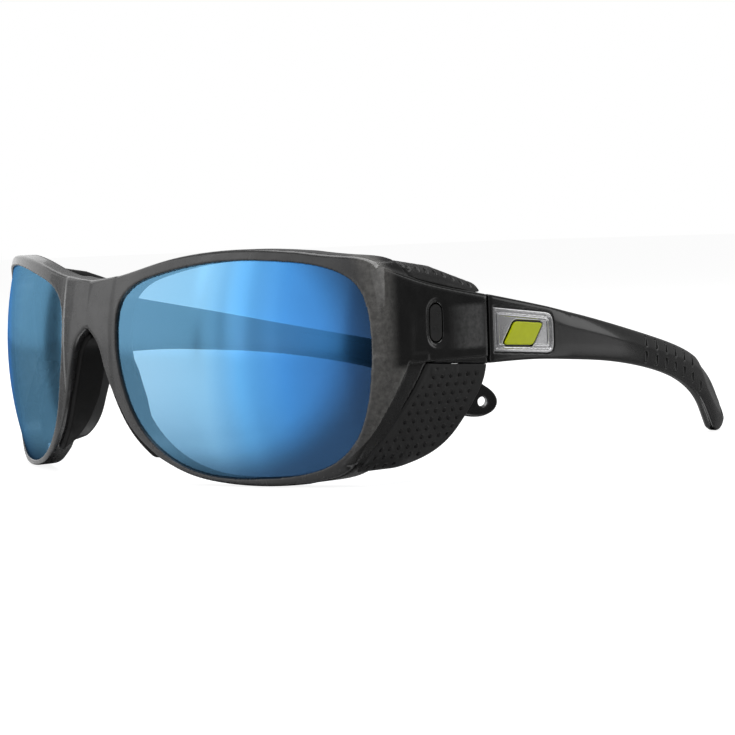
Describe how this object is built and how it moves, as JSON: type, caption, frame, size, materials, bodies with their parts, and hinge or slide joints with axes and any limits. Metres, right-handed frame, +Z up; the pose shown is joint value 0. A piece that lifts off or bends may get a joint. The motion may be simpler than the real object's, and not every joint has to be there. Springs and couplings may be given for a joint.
{
  "type": "glacier glasses",
  "caption": "Wraparound mountaineering sunglasses with mirrored lenses, folding temples, soft nose pads and unclipping perforated side shields.",
  "frame": {"origin": "on the ground, under the middle of the open glasses' bounding box", "axes": "+X towards the wearer's left, +Y back along the temples, +Z up; the lenses face -Y"},
  "size_m": [0.14, 0.1638, 0.05],
  "materials": {
    "front_plastic": "smoke grey translucent, satin front",
    "lens_polycarbonate": "blue mirror coating",
    "pad_rubber": "soft matte",
    "screw_steel": "plain",
    "temple_plastic": "glossy translucent black",
    "badge_chrome": "bright edges, satin centre",
    "badge_colour": "yellow-green",
    "grip_rubber": "matte",
    "shield_rubber": "matte, dimpled",
    "clip_plastic": "matte"
  },
  "bodies": {
    "front": {"front_frame": "front_plastic", "lens_left": "lens_polycarbonate", "lens_right": "lens_polycarbonate", "nose_pad_left": "pad_rubber", "nose_pad_right": "pad_rubber", "hinge_screw_left": "screw_steel", "hinge_screw_right": "screw_steel", "hinge_nut_left": "screw_steel", "hinge_nut_right": "screw_steel"},
    "temple_left": {"temple_arm_left": "temple_plastic", "badge_plate_left": "badge_chrome", "badge_inlay_left": "badge_colour", "temple_grip_left": "grip_rubber"},
    "shield_left": {"side_shield_left": "shield_rubber", "shield_clip_left": "clip_plastic"},
    "temple_right": {"temple_arm_right": "temple_plastic", "badge_plate_right": "badge_chrome", "badge_inlay_right": "badge_colour", "temple_grip_right": "grip_rubber"},
    "shield_right": {"side_shield_right": "shield_rubber", "shield_clip_right": "clip_plastic"}
  },
  "joints": [
    {"name": "temple_left_fold", "type": "hinge", "parent": "front", "child": "temple_left", "pos_m": [0.0654, -0.0303, 0.0325], "axis": [0, 0, 1], "range_deg": [0, 92]},
    {"name": "temple_right_fold", "type": "hinge", "parent": "front", "child": "temple_right", "pos_m": [-0.0654, -0.0303, 0.0325], "axis": [0, 0, -1], "range_deg": [0, 80]},
    {"name": "shield_left_unclip", "type": "slide", "parent": "front", "child": "shield_left", "axis": [-1, 0, 0], "range_m": [0, 0.006]},
    {"name": "shield_right_unclip", "type": "slide", "parent": "front", "child": "shield_right", "axis": [1, 0, 0], "range_m": [0, 0.006]}
  ]
}
